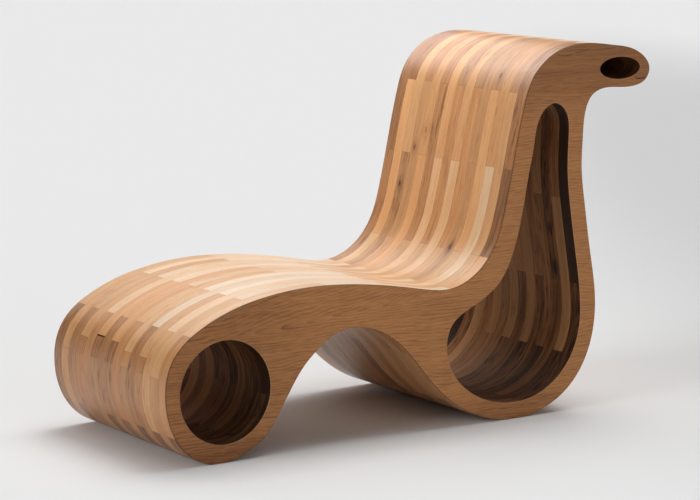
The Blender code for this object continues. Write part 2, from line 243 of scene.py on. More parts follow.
# Noises of the facings: their run, their rise and a shift that sets one apart from another
FACE_NOISES = {
    "bow": (0.62, 0.20, 0.0), "ripple": (0.07, 0.03, 0.0), "waver": (0.02, 0.05, 0.0),
    "shown": (0.16, 0.014, 5.0), "fleck": (0.034, 0.0026, 9.0),
}
BOW_HEIGHT = 0.11
RIPPLE_HEIGHT = 0.010
WAVER_HEIGHT = 0.006
# Arched rings of the facings: the axis that they stand along, where they close, how fast they widen from
# there, and how blunt their tips are
AXIS_START, AXIS_END, AXIS_SLOPE, AXIS_HEIGHT = -0.62, 0.10, 0.07, 0.428
ARCH_TIP, ARCH_TAPER, ARCH_BLUNTNESS = 0.12, 0.11, 0.00006
FACE_RING_WIDTH = 0.0088
FACE_RING_POWER = 1.5
FACE_SEED, FACE_SEED_STEP = 0.5, 0.31
# Ranges of the facings, each with the range it is taken to: which rings and flecks show, how calm the head
# is, and the painted light and shade that darken the head, the foot end and the feet and lighten the rest,
# the feet partly for darker grain
RINGS_SHOWN = (0.36, 0.6, 0.2, 1.0)
FLECK_RANGE = (0.3, 0.7)
CALM_HEAD = (0.80, 0.95, 1.0, 0.45)
HEAD_PAINTED_SHADE = (0.80, 0.95, 0.0, -0.50)
FOOT_END_PAINTED_SHADE = (-0.60, -0.25, -0.02, 0.32)
FEET_PAINTED_SHADE_AND_GRAIN = (0.09, 0.01, 0.0, -0.34)
# The facings' middle tone, its contrast, and how strongly each part of the grain and the rims show; the
# rims carry a painted shadow line at the outer arrises, partly their dark end grain, and a painted
# highlight round the openings
FACE_SHADE, FACE_CONTRAST = 0.62, 0.8
FACE_SHOWS = {"streak": 1.1, "fleck": 0.34, "ring": 0.95, "patch": 0.12, "fibre": 0.4, "pore": 0.14}
RIM_SHOWS = (0.7, 0.3)

# Beech: flecks to a metre, their range, the two colours, the roughness and the depth
BEECH_FLECKS = (900, 60, 900)
BEECH_RANGE = (0.35, 0.7)
PALE_BEECH = (0.56, 0.36, 0.19, 1)
FLECKED_BEECH = (0.43, 0.25, 0.12, 1)
BEECH_ROUGHNESS = (0.45, 0.6)
BEECH_DEPTH = 0.00005

# Sawing: how much of a face at a joint is the joint's, points closer than this are one, and sharp edges
WHOLLY_JOINT = 0.9
WELD_DISTANCE = 1e-5
SHARP_DEGREES = 30

# Broad lights from far off: strength, then tilt, direction round from the head end and spread in degrees
FAR_LIGHTS = {
    "Overhead": (0.46, 0, 0, 60),
    "High head side": (1.5, 25, 18, 42),
    "Rear": (0.68, 45, 75, 60),
    "Foot side": (1.24, 70, 180, 32),
    "Camera side": (0.24, 70, 270, 60),
}
# Soft boxes near the chair: strength in watts, place, tilt and direction
SOFT_BOXES = {
    "Box over the back": (8.2, (0.2, 0.3, 1.9), 0, 0),
    "Box behind the seat": (9.6, (-0.2, 1.0, 1.9), 35, 90),
    "Box behind the head": (4.9, (0.6, 1.2, 1.7), 40, 70),
}
# Glow of the backdrop near the horizon: strength, direction, and the height where it ends, as a slope
GLOWS = {"Head side": (0.71, -20, 0.45), "Rear": (0.81, 56, 0.2), "Front": (0.45, 236, 1.0)}
# Where the glow is full above the horizon, and how it comes up towards its direction
GLOW_FULL = 0.05
GLOW_FADE = (0.1, 0.8)
# Shade on the floor: its size to the right and behind, its place in that size, and where it fades
SHADE_SIZE = (1.9, 11)
SHADE_PLACE = (1.1, 0.5, 0)
SHADE_FADE = (1.05, 0.3)
FLOOR_ROUGHNESS = 0.9
# Place of the far lights, width of the camera's sensor in millimetres, and how far it sees in metres
SUN_PLACE = (0, 0, 3)
SENSOR_WIDTH = 36
CLIP_END = 500


def number(default, description, **settings):
    """A number that a user can change."""
    return FloatProperty(description=description, default=default, **settings)


def angle(degrees, description):
    """An angle that a user can change, given in degrees."""
    return number(math.radians(degrees), description, subtype="ANGLE")


def colour(default, description):
    """A linear colour that a user can change."""
    return FloatVectorProperty(description=description, default=default, size=3, min=0, max=1,
                               subtype="COLOR")


# A length in metres, a share between none and all, and a strength
length = partial(number, min=0, precision=4, unit="LENGTH")
share = partial(number, min=0, max=1, subtype="FACTOR")
amount = partial(number, min=0)


def labelled(group):
    """Labels each setting of a group with its own name."""
    for name, setting in group.__annotations__.items():
        setting.keywords["name"] = name.replace("_", " ").capitalize()
    return group


@labelled
class ChairSizes(bpy.types.PropertyGroup):
    """Sizes of the profile and of the stack."""

    length: length(1.574, "From the foot end to the tip of the head")
    height: length(1.029, "From the floor to the top of the head")
    seat_height: length(0.432, "From the floor to the crown of the seat")
    seat_dip: length(0.0475, "How far the seat sinks before the back")
    arch_height: length(0.309, "From the floor to the top of the arch")
    head_depth: length(0.1275, "From the top of the head to its underside")
    rest_flat: length(0.0012, "How much is sanded off where the feet rest")
    bore_radius: length(0.135, "Radius of the bore through the front roll")
    roll_wall: length(0.045, "Wood round the bore")
    seat_wall: length(0.104, "Wood between the seat and the rear hollow")
    back_wall: length(0.061, "Wood between the back and the rear hollow")
    rear_wall: length(0.0525, "Wood behind the rear hollow")
    floor_wall: length(0.048, "Wood under the rear hollow")
    leg_wall: length(0.062, "Wood between the arch and the rear hollow")
    head_wall: length(0.161, "Wood over the rear hollow")
    slot_length: length(0.144, "Length of the slot through the head")
    slot_height: length(0.061, "Height of the slot through the head")
    slot_tip_wall: length(0.036, "Wood between the slot and the tip of the head")
    slot_floor_wall: length(0.0235, "Wood under the slot")
    ribs: IntProperty(description="How many ribs stand side by side", default=15, min=1)
    rib_thickness: length(0.0393, "Thickness of a rib")
    glue_gap: length(0.0003, "Glue line between ribs and facings")
    facing_thickness: length(0.003, "Thickness of a side facing")
    facing_setback: length(0.0006, "How far a facing's edge lies inside the ribs'")
    facing_ease: length(0.0011, "Arris taken off a facing's edges")
    rib_ease: length(0.0003, "Arris taken off the ribs' edges")
    curve_sag: length(0.00008, "How far a chord may leave its curve")


@labelled
class OakFinish(bpy.types.PropertyGroup):
    """Colours and sheen of the oiled oak."""

    # painted shade: black and dark stand mostly for deep shade in the hollow, the bore and the slot; black
    # also colours the real black dash of a short stave
    black: colour((0.030, 0.012, 0.005), "Blackened staves")
    dark: colour((0.14, 0.056, 0.020), "Dark staves")
    brown: colour((0.345, 0.152, 0.057), "Brown staves")
    mid: colour((0.475, 0.230, 0.090), "Middling staves")
    tan: colour((0.585, 0.315, 0.135), "Tan staves")
    light: colour((0.630, 0.447, 0.290), "Light staves")
    cream: colour((0.71, 0.55, 0.40), "Palest staves")
    glue: colour((0.045, 0.02, 0.009), "Glue lines and cracks")
    facing_dark: colour((0.18, 0.06, 0.014), "Late wood of the side facings")
    facing_light: colour((0.53, 0.23, 0.070), "Early wood of the side facings")
    worn: colour((0.66, 0.42, 0.23), "Rubbed arrises of the openings in the side facings")
    # painted highlight: the pale colour of the arrises round the bore, the hollow and the slot stands for
    # light caught on them
    edge: colour((0.075, 0.035, 0.018), "Outer arrises of the side facings")
    # partly painted shadow: the dark outer arrises are partly dark end grain and partly a painted shadow
    # line where the facing meets the ribs
    joint_line: length(0.0006, "Width of the line at a butt joint")
    gloss: share(0.5, "Strength of the sheen outside")
    side_gloss: share(0.3, "Strength of the sheen of the side facings")
    inside_gloss: share(0.1, "Strength of the sheen in the bore, the hollow and the slot")
    roughness: share(0.32, "Roughness of the oiled oak")
    inside_roughness: share(0.55, "Roughness in the bore, the hollow and the slot")
    grain_depth: length(0.00012, "Depth of the open grain")


@labelled
class Studio(bpy.types.PropertyGroup):
    """Camera, floor and lights."""

    aim: FloatVectorProperty(description="What the camera looks at", default=(-0.230, -0.300, 0.519),
                             size=3, subtype="TRANSLATION")
    distance: length(6.525, "From the camera to its aim")
    azimuth: angle(-34.36, "The camera's place round the chair")
    elevation: angle(9.03, "The camera's height as an angle")
    roll: angle(0.31, "How far the camera is turned about its line of sight")
    lens: FloatProperty(description="Focal length in millimetres", default=128.57, min=1)
    floor_reach: length(60, "From the middle of the floor to its edges")
    floor: colour((0.85, 0.85, 0.85), "Floor and backdrop")
    shaded: share(0.23, "How much darker the floor is to the right behind the chair")
    box_size: length(1.2, "Across each soft box")
    light: amount(1.0, "Strength of all the lights")
    glow: amount(1.0, "Strength of the backdrop's glow")


def polar(centre, radius, degrees):
    """A point at a distance and direction from a centre."""
    turn = math.radians(degrees)
    return np.array([centre[0] + radius * math.cos(turn), centre[1] + radius * math.sin(turn)])


def ring(centre, half_length, half_height, sides):
    """An ellipse as a closed loop of points, clockwise."""
    turns = -2 * math.pi * np.arange(sides) / sides
    across = centre[0] + half_length * np.cos(turns)
    return np.column_stack([across, centre[1] + half_height * np.sin(turns)])


def chord_sag(points):
    """Greatest distance of points from the chord between the first and the last."""
    chord = points[-1] - points[0]
    across = np.array([chord[1], -chord[0]]) / np.linalg.norm(chord)
    return np.abs((points - points[0]) @ across).max()


def thinned(points, sag):
    """A closed loop with only the points that keep its chords near the curve."""
    closed = np.vstack([points, points[:1]])
    last = len(points)
    kept = [0]
    while kept[-1] < last:
        start = kept[-1]
        end = start + 1
        while end < last and chord_sag(closed[start:end + 2]) < sag:
            end += 1
        kept.append(end)
    return closed[kept[:-1]]


def cut_at_floor(loop):
    """A closed loop with what lies below the floor cut off flat."""
    kept = []
    for here, ahead in zip(loop, np.roll(loop, -1, axis=0)):
        if here[1] > 0:
            kept.append(here)
        if (here[1] > 0) != (ahead[1] > 0):
            part = here[1] / (here[1] - ahead[1])
            kept.append(np.array([here[0] + part * (ahead[0] - here[0]), 0]))
    return np.array(kept)


def right_of(loop):
    """At each point of a closed loop, the step that moves it sideways by one, to the right."""
    ahead = np.roll(loop, -1, axis=0) - loop
    ahead /= np.linalg.norm(ahead, axis=1)[:, None]
    right = np.column_stack([ahead[:, 1], -ahead[:, 0]])
    before = np.roll(right, 1, axis=0)
    return (right + before) / (1 + (right * before).sum(axis=1))[:, None]


class SmoothLoop:
    """A closed cubic curve through knots, run clockwise, with the wood on its right."""

    def __init__(self, knots):
        self.knots = np.array(knots)
        steps = np.roll(self.knots, -1, axis=0) - self.knots
        self.spans = np.linalg.norm(steps, axis=1)
        slopes = steps / self.spans[:, None]
        self.bends = np.linalg.solve(self.span_matrix(), 6 * (slopes - np.roll(slopes, 1, axis=0)))

    def span_matrix(self):
        """How the curve's second derivatives at the knots add up to its changes of slope."""
        count = len(self.knots)
        matrix = np.zeros((count, count))
        for knot, after in enumerate(self.spans):
            before = self.spans[knot - 1]
            matrix[knot, knot - 1] = before
            matrix[knot, knot] = 2 * (before + after)
            matrix[knot, (knot + 1) % count] = after
        return matrix

    def point(self, knot, part):
        """The curve at a part of the way from a knot to the next."""
        after = (knot + 1) % len(self.knots)
        left = 1 - part
        straight = left * self.knots[knot] + part * self.knots[after]
        bend = (left ** 3 - left) * self.bends[knot] + (part ** 3 - part) * self.bends[after]
        return straight + bend * self.spans[knot] ** 2 / 6

    def points(self):
        """Closely spaced points round the whole curve."""
        parts = np.arange(SPAN_STEPS) / SPAN_STEPS
        return np.array([self.point(knot, part) for knot in range(len(self.knots)) for part in parts])

    def inset(self, knot, depth):
        """The point at a depth in the wood, square to the curve at a knot."""
        after = (knot + 1) % len(self.knots)
        span = self.spans[knot]
        along = (self.knots[after] - self.knots[knot]) / span
        along = along - (2 * self.bends[knot] + self.bends[after]) * span / 6
        along = along / np.linalg.norm(along)
        return self.knots[knot] + depth * np.array([along[1], -along[0]])


class Profile:
    """The closed loops that every rib is sawn to, clockwise, with X from the foot end."""

    def __init__(self, sizes):
        self.sizes = sizes
        rim = np.array(self.roll_ring(np.zeros(2)))
        self.bore_at = np.array([-rim[:, 0].min(), -rim[:, 1].min() - sizes.rest_flat])
        self.roll_right = self.bore_at[0] + sizes.bore_radius + sizes.roll_wall
        self.groups = self.outline_groups()
        self.edge = SmoothLoop([knot for group in self.groups.values() for knot in group])
        slot_at = (
            sizes.length - sizes.slot_tip_wall - sizes.slot_length / 2,
            sizes.height - sizes.head_depth + sizes.slot_floor_wall + sizes.slot_height / 2,
        )
        self.loops = {
            "outline": cut_at_floor(thinned(self.edge.points(), sizes.curve_sag)),
            "hollow": thinned(SmoothLoop(self.hollow_knots()).points(), sizes.curve_sag),
            "bore": ring(self.bore_at, sizes.bore_radius, sizes.bore_radius, BORE_SIDES),
            "slot": ring(slot_at, sizes.slot_length / 2, sizes.slot_height / 2, SLOT_SIDES),
        }
        ends = self.loops["outline"][:, 0]
        self.middle = (ends.min() + ends.max()) / 2

    def roll_ring(self, centre):
        """Knots of the outline round the front roll."""
        sizes = self.sizes
        return [polar(centre, sizes.bore_radius + sizes.roll_wall * wall, degrees)
                for degrees, wall in ROLL_SHARES]

    def along_body(self, part):
        """The distance from the foot end at a share of the body, which runs from the roll to the head."""
        return self.roll_right + part * (self.sizes.length - self.roll_right)

    def outline_groups(self):
        """Knots of the outline in named groups, clockwise as seen from the sitter's left."""
        sizes = self.sizes
        roll_top = self.bore_at[1] + sizes.bore_radius + sizes.roll_wall
        dip = sizes.seat_height - sizes.seat_dip
        underside = sizes.height - sizes.head_depth
        rises = {
            "nose": (NOSE_SHARES, roll_top, sizes.seat_height),
            "seat": (SEAT_SHARES, sizes.seat_height, dip),
            "back": (BACK_SHARES, dip, sizes.height),
            "head": (HEAD_SHARES, sizes.height, underside),
            "rear": (REAR_SHARES, -sizes.rest_flat, underside),
            "arch": (ARCH_SHARES, -sizes.rest_flat, sizes.arch_height),
        }
        groups = {"roll": self.roll_ring(self.bore_at)}
        for name, (shares, start, end) in rises.items():
            groups[name] = [(self.along_body(along), start + up * (end - start)) for along, up in shares]
        return groups

    def under(self, group, number, depth):
        """The point at a depth under a knot of the outline."""
        names = list(self.groups)
        before = sum(len(self.groups[name]) for name in names[:names.index(group)])
        return self.edge.inset(before + number, depth)

    def walled(self, group, shares, thickness, first=0):
        """Points under successive knots of the outline, each at its share of a wall's thickness."""
        return [self.under(group, number, thickness * wall) for number, wall in enumerate(shares, first)]

    def hollow_knots(self):
        """Knots of the rear hollow, most of them a wall's thickness under a knot of the outline."""
        sizes = self.sizes
        front = self.walled("back", BACK_WALL_SHARES, sizes.back_wall)
        rear = self.walled("rear", REAR_WALL_SHARES, sizes.rear_wall)
        top = front[-1][0] + HOLLOW_TOP_SHARE * (rear[0][0] - front[-1][0])
        return [
            self.under("seat", len(SEAT_SHARES) - 1, sizes.seat_wall),
            *front, (top, sizes.height - sizes.head_wall), *rear,
            *self.walled("rear", [1] * (len(REAR_SHARES) - len(rear)), sizes.floor_wall, len(rear)),
            self.under("arch", 0, sizes.floor_wall),
            *self.walled("arch", LEG_WALL_SHARES, sizes.leg_wall, 1),
        ]


def nearest_reach(closed, reach, point):
    """How far round a loop the place nearest to a point lies."""
    steps = np.diff(closed, axis=0)
    spans = np.diff(reach)
    parts = np.clip(((point - closed[:-1]) * steps).sum(axis=1) / spans ** 2, 0, 1)
    gaps = np.linalg.norm(closed[:-1] + parts[:, None] * steps - point, axis=1)
    best = gaps.argmin()
    return reach[best] + parts[best] * spans[best]


def butted(loop, joints, line):
    """A loop cut at joints, with a joint line's width at each.

    Gives the points from just after the first joint, how far along each lies, whether it stands at a
    joint, and a function that tells how far along a place lies.
    """
    closed = np.vstack([loop, loop[:1]])
    reach = np.concatenate([[0], np.cumsum(np.linalg.norm(np.diff(closed, axis=0), axis=1))])
    total = reach[-1]
    first = nearest_reach(closed, reach, joints[0])

    def place_along(place):
        return (nearest_reach(closed, reach, place) - first) % total

    starts = np.array([place_along(joint) for joint in joints])
    sides = np.concatenate([starts, (starts - line) % total])
    places = (reach[:-1] - first - line / 2) % total
    gaps = np.abs((places[:, None] - sides[None, :] + total / 2) % total - total / 2).min(axis=1)
    along = np.concatenate([places[gaps > line], sides])
    at_joint = np.concatenate([np.zeros((gaps > line).sum()), np.ones(len(sides))])
    order = along.argsort()
    along = along[order]
    where = (along + first + line / 2) % total
    points = np.column_stack([np.interp(where, reach, closed[:, axis]) for axis in (0, 1)])
    return points, along, at_joint[order], place_along


def sum_method(operation, swapped=False):
    """A method that joins a value and another value or number by a Math node."""
    def method(self, other):
        pair = (other, self) if swapped else (self, other)
        return self.nodes.math(operation, *pair)
    return method


class Value:
    """An output of a node, which takes part in sums as a number does."""

    __add__ = sum_method("ADD")
    __radd__ = sum_method("ADD", swapped=True)
    __sub__ = sum_method("SUBTRACT")
    __rsub__ = sum_method("SUBTRACT", swapped=True)
    __mul__ = sum_method("MULTIPLY")
    __truediv__ = sum_method("DIVIDE")

    def __init__(self, nodes, socket):
        self.nodes = nodes
        self.socket = socket


class Nodes:
    """Adds nodes to a tree and links them."""

    def __init__(self, tree):
        self.tree = tree

    def add(self, kind, inputs=None, **settings):
        """A node with its settings, and its inputs set or linked by name or number."""
        node = self.tree.nodes.new(kind)
        for name, value in settings.items():
            setattr(node, name, value)
        self.feed_all(node.inputs, inputs or {})
        return node

    def feed(self, socket, value):
        """Links a socket to a node's output, or sets its value."""
        if isinstance(value, Value):
            self.tree.links.new(value.socket, socket)
        else:
            socket.default_value = value

    def feed_all(self, sockets, values):
        """Links or sets sockets by name or number."""
        for name, value in values.items():
            self.feed(sockets[name], value)

    def out(self, kind, inputs=None, output=0, **settings):
        """One output of a new node, by name or number."""
        return Value(self, self.add(kind, inputs, **settings).outputs[output])

    def outs(self, kind, inputs=None, **settings):
        """All the outputs of a new node."""
        return [Value(self, socket) for socket in self.add(kind, inputs, **settings).outputs]

    def math(self, operation, *values):
        """The result of a sum on numbers."""
        return self.out("ShaderNodeMath", dict(enumerate(values)), operation=operation)

    def vector(self, operation, *values, output=0):
        """The result of a sum on vectors."""
        return self.out("ShaderNodeVectorMath", dict(enumerate(values)), output, operation=operation)

    def join(self, x, y, z=0):
        """A vector of three numbers."""
        return self.out("ShaderNodeCombineXYZ", {0: x, 1: y, 2: z})

    def split(self, vector):
        """The three numbers of a vector."""
        return self.outs("ShaderNodeSeparateXYZ", {0: vector})

    def noise(self, vector, detail=2):
        """Smooth noise between 0 and 1."""
        return self.out("ShaderNodeTexNoise", {"Vector": vector, "Scale": 1, "Detail": detail})

    def fit(self, value, low, high, new_low=0, new_high=1):
        """A number taken smoothly from one range to another."""
        inputs = dict(enumerate((value, low, high, new_low, new_high)))
        return self.out("ShaderNodeMapRange", inputs, interpolation_type="SMOOTHSTEP")

    def mix(self, factor, first, second, blend="MIX"):
        """A blend of two colours."""
        return self.out("ShaderNodeMix", {0: factor, 6: first, 7: second}, 2, data_type="RGBA",
                        blend_type=blend)

    def ramp(self, factor, stops):
        """A colour from a ramp with a colour at each position."""
        node = self.add("ShaderNodeValToRGB", {"Fac": factor})
        elements = node.color_ramp.elements
        while len(elements) < len(stops):
            elements.new(1.0)
        for element, (position, shade) in zip(elements, stops):
            element.position = position
            element.color = (*shade, 1)
        return Value(self, node.outputs[0])


def new_group(name, kind, inputs, outputs):
    """An empty node group with named sockets, its nodes, what it is given and the sockets it gives."""
    tree = bpy.data.node_groups.new(name, kind)
    for in_out, sockets in (("INPUT", inputs), ("OUTPUT", outputs)):
        for label, socket_type in sockets.items():
            tree.interface.new_socket(label, in_out=in_out, socket_type="NodeSocket" + socket_type)
    nodes = Nodes(tree)
    given = dict(zip(inputs, nodes.outs("NodeGroupInput")))
    return tree, nodes, given, nodes.add("NodeGroupOutput").inputs


def sawn_board_tree():
    """The tree that saws a board from closed loops drawn flat, and eases its arrises."""
    inputs = {"Loops": "Geometry", "Thickness": "Float", "Ease": "Float", "Place": "Float",
              "Finish": "Material", "Inside Finish": "Material"}
    tree, nodes, given, made = new_group("Sawn board", "GeometryNodeTree", inputs, {"Board": "Geometry"})
    ease = given["Ease"]
    upward = nodes.join(0, 0, 1)

    def named(label, data_type="FLOAT"):
        return nodes.out("GeometryNodeInputNamedAttribute", {"Name": label}, data_type=data_type)

    def moved(mesh, offset, selection=True):
        inputs = {"Geometry": mesh, "Offset": offset, "Selection": selection}
        return nodes.out("GeometryNodeSetPosition", inputs)

    def lifted(mesh, rise, selection=True):
        inputs = {"Mesh": mesh, "Offset": upward, "Offset Scale": rise, "Selection": selection}
        return nodes.outs("GeometryNodeExtrudeMesh", inputs, mode="EDGES")

    def stored(mesh, label, value, selection=True, data_type="FLOAT", domain="FACE"):
        inputs = {"Geometry": mesh, "Selection": selection, "Name": label, "Value": value}
        return nodes.out("GeometryNodeStoreNamedAttribute", inputs, data_type=data_type, domain=domain)

    def finished(mesh, material, selection=True):
        inputs = {"Geometry": mesh, "Selection": selection, "Material": material}
        return nodes.out("GeometryNodeSetMaterial", inputs)

    inward = nodes.out("ShaderNodeVectorMath", {0: named("inward", "FLOAT_VECTOR"), "Scale": ease},
                       operation="SCALE")
    outward = nodes.vector("MULTIPLY", inward, (-1, -1, -1))
    rim = moved(given["Loops"], inward)
    wall, top, side = lifted(rim, ease)
    wall = stored(moved(wall, outward, top), "arris", 1.0, side)
    wall, top, side = lifted(wall, given["Thickness"] - ease * 2, top)
    wall = stored(wall, "arris", 0.0, side)
    wall, top, side = lifted(wall, ease, top)
    wall = stored(moved(wall, inward, top), "arris", 1.0, side)
    height = nodes.split(nodes.out("GeometryNodeInputPosition"))[2]
    wall = stored(wall, "grain", nodes.join(named("along"), height), data_type="FLOAT2", domain="CORNER")
    wall = stored(wall, "joint", nodes.math("GREATER_THAN", named("joint"), WHOLLY_JOINT))
    for label in ("tone", "seed", "knot", "inside"):
        wall = stored(wall, label, named(label))
    curve = nodes.out("GeometryNodeMeshToCurve", {"Mesh": rim})
    cap = nodes.out("GeometryNodeFillCurve", {"Curve": curve}, mode="TRIANGLES")
    joined = nodes.add("GeometryNodeJoinGeometry")
    for mesh in (wall, cap, moved(cap, nodes.join(0, 0, given["Thickness"]))):
        nodes.feed(joined.inputs[0], mesh)
    inputs = {"Geometry": Value(nodes, joined.outputs[0]), "Distance": WELD_DISTANCE}
    board = nodes.out("GeometryNodeMergeByDistance", inputs)
    upright = (math.pi / 2, 0, 0)
    inputs = {"Geometry": board, "Translation": nodes.join(0, given["Place"]), "Rotation": upright}
    placed = nodes.out("GeometryNodeTransform", inputs)
    real = nodes.out("GeometryNodeRealizeInstances", {"Geometry": placed})
    inside = nodes.math("GREATER_THAN", named("inside"), 0.5)
    nodes.feed(made["Board"], finished(finished(real, given["Finish"]), given["Inside Finish"], inside))
    return tree


def wire(name, loops):
    """A mesh of closed loops drawn flat, with a value of each attribute at each point."""
    mesh = bpy.data.meshes.new(name)
    points, edges = [], []
    for loop in loops:
        start, count = len(points), len(loop["points"])
        points += [(x, z, 0) for x, z in loop["points"]]
        edges += [(start + i, start + (i + 1) % count) for i in range(count)]
    mesh.from_pydata(points, edges, [])
    for label in loops[0]:
        if label not in ("points", "inward"):
            values = [np.full(len(loop["points"]), loop[label], np.float32) for loop in loops]
            mesh.attributes.new(label, "FLOAT", "POINT").data.foreach_set("value", np.concatenate(values))
    inward = [(x, z, 0) for loop in loops for x, z in loop["inward"]]
    mesh.attributes.new("inward", "FLOAT_VECTOR", "POINT").data.foreach_set("vector", np.ravel(inward))
    return mesh


def sawn_board(name, loops, thickness, ease, y, finish, inside_finish):
    """A board sawn to loops, centred across the chair at y, as a plain mesh on its own object."""
    tree = bpy.data.node_groups.get("Sawn board") or sawn_board_tree()
    pattern = bpy.data.objects.new(name + "_pattern", wire(name + "_pattern", loops))
    bpy.context.scene.collection.objects.link(pattern)
    saw = pattern.modifiers.new("Sawn board", "NODES")
    saw.node_group = tree
    values = {"Thickness": thickness, "Ease": ease, "Place": y + thickness / 2, "Finish": finish,
              "Inside Finish": inside_finish}
    for item in tree.interface.items_tree:
        if item.in_out == "INPUT" and item.name in values:
            saw[item.identifier] = values[item.name]
    bpy.context.view_layer.update()
    sawn = pattern.evaluated_get(bpy.context.evaluated_depsgraph_get())
    mesh = bpy.data.meshes.new_from_object(sawn)
    mesh.name = name
    bpy.data.objects.remove(pattern, do_unlink=True)
    form = bmesh.new()
    form.from_mesh(mesh)
    bmesh.ops.recalc_face_normals(form, faces=form.faces)
    form.to_mesh(mesh)
    form.free()
    mesh.shade_smooth()
    mesh.set_sharp_from_angle(angle=math.radians(SHARP_DEGREES))
    board = bpy.data.objects.new(name, mesh)
    bpy.context.scene.collection.objects.link(board)
    return board


def oak_figure_group():
    """The grain shared by all the oak: slow streaks, growth rings, fibres and pores."""
    inputs = {"Place": "Vector", "Seed": "Float", "Ring Place": "Float"}
    outputs = dict.fromkeys(("Streak", "Ring", "Fibre", "Pore", "Patch"), "Float")
    tree, nodes, given, made = new_group("Oak figure", "ShaderNodeTree", inputs, outputs)
    along, across, _ = nodes.split(given["Place"])
    shift = given["Seed"] * GRAIN_SHIFT

    def grain(layer):
        run, width, detail = GRAINS[layer]
        return nodes.noise(nodes.join(along / run, across / width, shift), detail)

    turn = nodes.math("FRACT", given["Ring Place"])
    late_wood = nodes.math("POWER", turn, LATE_WOOD_POWER)
    figure = {
        "Streak": grain("slow") * SLOW_SHARE + grain("narrow") * (1 - SLOW_SHARE),
        "Ring": late_wood * nodes.fit(turn, 1.0, LATE_WOOD_END),
        "Fibre": grain("fibre"),
        "Pore": nodes.fit(grain("pore"), *PORE_RANGE),
        "Patch": nodes.fit(grain("patch"), *PATCH_RANGE),
    }
    nodes.feed_all(made, figure)
    return tree


def oak_figure(nodes, place, seed, ring_place):
    """The streak, ring, fibre, pore and patch of the shared grain at a place."""
    tree = bpy.data.node_groups.get("Oak figure") or oak_figure_group()
    inputs = {"Place": place, "Seed": seed, "Ring Place": ring_place}
    return nodes.outs("ShaderNodeGroup", inputs, node_tree=tree)


def new_material(name):
    """A material with nodes, the helper that adds to them, and the inputs of its shader."""
    material = bpy.data.materials.new(name)
    material.use_nodes = True
    return material, Nodes(material.node_tree), material.node_tree.nodes["Principled BSDF"].inputs


def wood_surface(nodes, surface, colour_out, roughness, height, depth):
    """Joins colour, roughness and height to a material's shader."""
    bump = nodes.out("ShaderNodeBump", {"Height": height, "Distance": depth, "Strength": BUMP_STRENGTH})
    nodes.feed_all(surface, {"Base Color": colour_out, "Roughness": roughness, "Normal": bump})


def oak_surface(nodes, surface, finish, colour_out, roughness, streak, fibre, pore):
    """Joins colour and the oak's roughness and open grain to a material's shader."""
    roughness = streak * STREAK_ROUGHNESS + roughness
    wood_surface(nodes, surface, colour_out, roughness, fibre - pore * PORE_DEPTH, finish.grain_depth)


def attributes(nodes, *labels):
    """The values that a piece's mesh keeps under some names."""
    return [nodes.out("ShaderNodeAttribute", output="Fac", attribute_name=label) for label in labels]


def stave_oak(name, finish, gloss, dullness):
    """Oiled oak staves, each with its own tone and grain along the profile."""
    material, nodes, surface = new_material(name)
    nodes.feed(surface["Specular IOR Level"], gloss)
    along, across, _ = nodes.split(nodes.out("ShaderNodeUVMap", uv_map="grain"))
    tone, seed, joint, knot = attributes(nodes, "tone", "seed", "joint", "knot")
    knot_run = (along - knot) / KNOT_HALF_LENGTH
    knot_rise = (across - KNOT_HEIGHT) / KNOT_HALF_WIDTH
    knot_gap = nodes.math("SQRT", knot_run * knot_run + knot_rise * knot_rise)
    across = across + nodes.fit(knot_gap, *KNOT_SWIRL) * knot_rise * -KNOT_PULL
    wave = nodes.noise(nodes.join(along / WAVE_RUN, across / WAVE_WIDTH, seed * WAVE_SHIFT), 1)
    ring_place = across / STAVE_RING_WIDTH + wave * WAVE_RINGS
    streak, ring, fibre, pore, patch = oak_figure(nodes, nodes.join(along, across), seed, ring_place)
    lively = nodes.fit(nodes.math("FRACT", seed * LIVELY_SHIFT), 0, 1, *LIVELY_RANGE)
    shade = tone + (streak - 0.5) * STAVE_SHOWS["streak"] - ring * lively - patch * lively
    shade = shade + (fibre - 0.5) * STAVE_SHOWS["fibre"] - pore * STAVE_SHOWS["pore"]
    shade = shade - nodes.fit(knot_gap, *KNOT_HALO, 0, STAVE_SHOWS["halo"])
    shade = shade - nodes.fit(knot_gap, *KNOT_CORE, 0, STAVE_SHOWS["core"])
    stops = [(position, getattr(finish, word)) for word, position in TONE_STOPS.items()]
    tint = nodes.mix(nodes.math("FRACT", seed * WARMTH_SHIFT), WARM_TINT, COOL_TINT)
    body = nodes.mix(1.0, nodes.ramp(shade, stops), tint, "MULTIPLY")
    whole = nodes.mix(joint * STAVE_SHOWS["joint"], body, (*finish.glue, 1))
    oak_surface(nodes, surface, finish, whole, dullness - STAVE_SMOOTHNESS, streak, fibre, pore)
    return material


def face_line(nodes, x, z, line):
    """How strongly a dark line in the grain shows at a place."""
    (start_x, start_z), (end_x, end_z), bow, half_width, strength = line
    part = (x - start_x) / (end_x - start_x)
    run = part * (end_z - start_z) + part * (1.0 - part) * (4 * bow)
    near = nodes.fit(nodes.math("ABSOLUTE", z - start_z - run), half_width, half_width * LINE_CORE)
    return near * nodes.fit(nodes.math("ABSOLUTE", part - 0.5), 0.5, LINE_FADE) * strength


